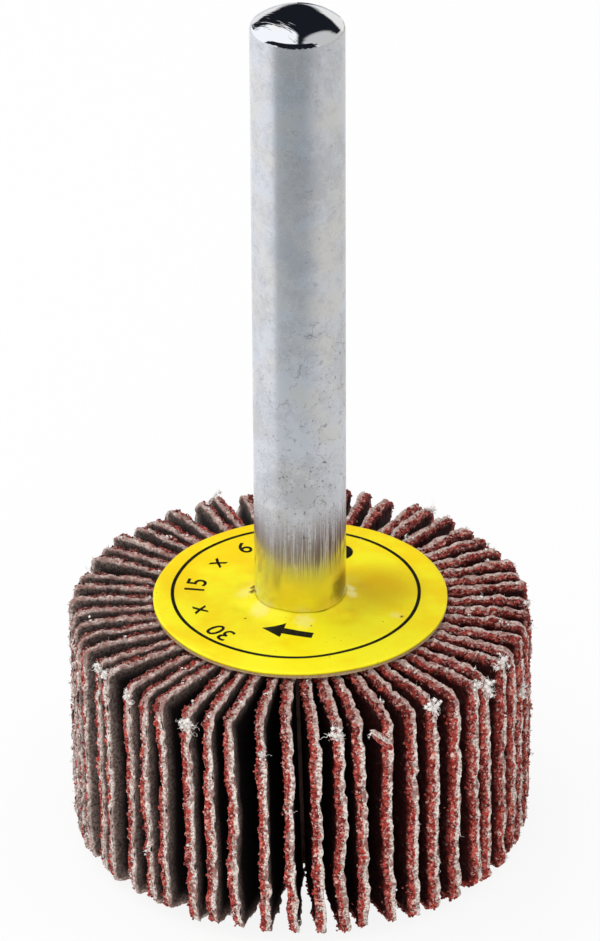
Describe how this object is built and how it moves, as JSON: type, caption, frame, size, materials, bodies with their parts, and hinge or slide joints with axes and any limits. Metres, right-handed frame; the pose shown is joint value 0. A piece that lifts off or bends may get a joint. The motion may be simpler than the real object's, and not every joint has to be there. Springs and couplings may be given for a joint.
{
  "type": "flap wheel",
  "caption": "Abrasive flap wheel on a plain round shank: coated cloth flaps stand on edge in a ring round a cast core with a paper label.",
  "frame": {"origin": "centre of the flat face formed by the flaps' lower edges, on the spindle's axis", "axes": "+Z along the spindle from the flaps towards its free end; the wheel is round about Z, and flap_01 starts the ring next to -Y"},
  "size_m": [0.03, 0.03, 0.0593],
  "materials": {
    "steel": "satin, drawn rod",
    "resin": "cast, matte",
    "card": "cut board",
    "label_paper": "printed, coated",
    "abrasive_cloth": "bonded grain on the leading face, bare cloth behind"
  },
  "bodies": {
    "root": {"spindle": "steel", "resin_core": "resin", "card_washer": "card", "paper_label": "label_paper", "flap_01": "abrasive_cloth", "flap_02": "abrasive_cloth", "flap_03": "abrasive_cloth", "flap_04": "abrasive_cloth", "flap_05": "abrasive_cloth", "flap_06": "abrasive_cloth", "flap_07": "abrasive_cloth", "flap_08": "abrasive_cloth", "flap_09": "abrasive_cloth", "flap_10": "abrasive_cloth", "flap_11": "abrasive_cloth", "flap_12": "abrasive_cloth", "flap_13": "abrasive_cloth", "flap_14": "abrasive_cloth", "flap_15": "abrasive_cloth", "flap_16": "abrasive_cloth", "flap_17": "abrasive_cloth", "flap_18": "abrasive_cloth", "flap_19": "abrasive_cloth", "flap_20": "abrasive_cloth", "flap_21": "abrasive_cloth", "flap_22": "abrasive_cloth", "flap_23": "abrasive_cloth", "flap_24": "abrasive_cloth", "flap_25": "abrasive_cloth", "flap_26": "abrasive_cloth", "flap_27": "abrasive_cloth", "flap_28": "abrasive_cloth", "flap_29": "abrasive_cloth", "flap_30": "abrasive_cloth", "flap_31": "abrasive_cloth", "flap_32": "abrasive_cloth", "flap_33": "abrasive_cloth", "flap_34": "abrasive_cloth", "flap_35": "abrasive_cloth", "flap_36": "abrasive_cloth", "flap_37": "abrasive_cloth", "flap_38": "abrasive_cloth", "flap_39": "abrasive_cloth", "flap_40": "abrasive_cloth", "flap_41": "abrasive_cloth", "flap_42": "abrasive_cloth", "flap_43": "abrasive_cloth", "flap_44": "abrasive_cloth", "flap_45": "abrasive_cloth", "flap_46": "abrasive_cloth", "flap_47": "abrasive_cloth", "flap_48": "abrasive_cloth", "flap_49": "abrasive_cloth", "flap_50": "abrasive_cloth", "flap_51": "abrasive_cloth", "flap_52": "abrasive_cloth", "flap_53": "abrasive_cloth", "flap_54": "abrasive_cloth", "flap_55": "abrasive_cloth", "flap_56": "abrasive_cloth"}
  },
  "joints": []
}
